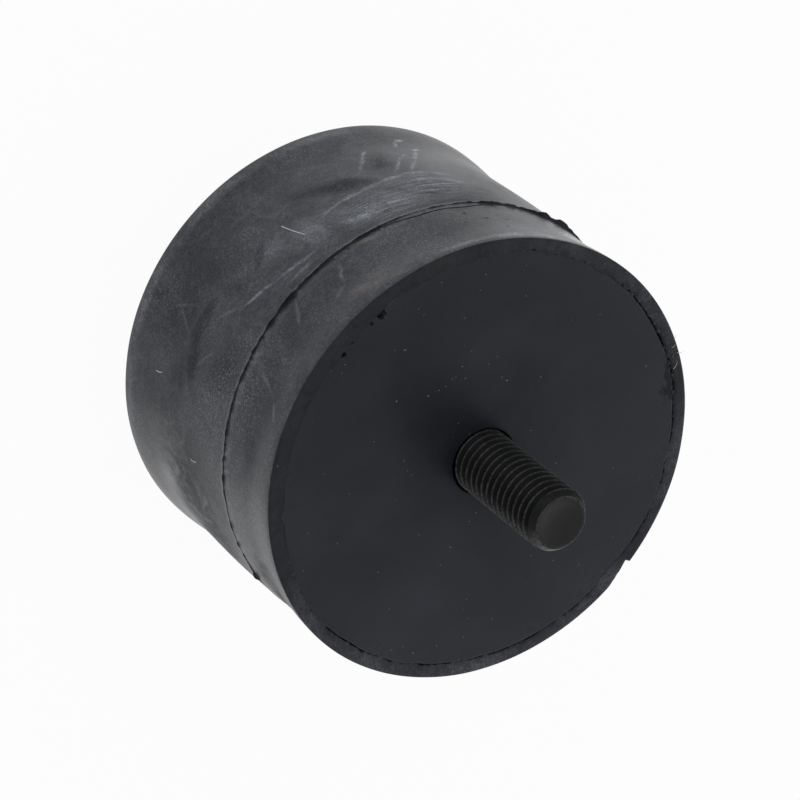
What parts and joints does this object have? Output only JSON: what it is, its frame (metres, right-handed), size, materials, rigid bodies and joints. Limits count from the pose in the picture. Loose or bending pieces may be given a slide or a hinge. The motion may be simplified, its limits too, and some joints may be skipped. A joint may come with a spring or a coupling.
{
  "type": "engine mount",
  "caption": "Cylindrical rubber engine mount: black rubber moulded between flush steel end plates, a threaded stud on each end, ragged parting-line flash.",
  "frame": {"origin": "centre of the rear mounting face, on the stud axis", "axes": "+Z along the studs, from the rear mounting face to the front stud; +X and +Y in the mounting face, the parting-line tongue close to +X"},
  "size_m": [0.071, 0.0707, 0.091],
  "materials": {
    "rubber": "matte moulded black rubber with grey bloom",
    "plate": "satin black bonding coat on steel",
    "stud": "black phosphated steel thread"
  },
  "bodies": {
    "root": {"rubber_body": "rubber", "front_plate": "plate", "front_stud": "stud", "rear_plate": "plate", "rear_stud": "stud"}
  },
  "joints": []
}
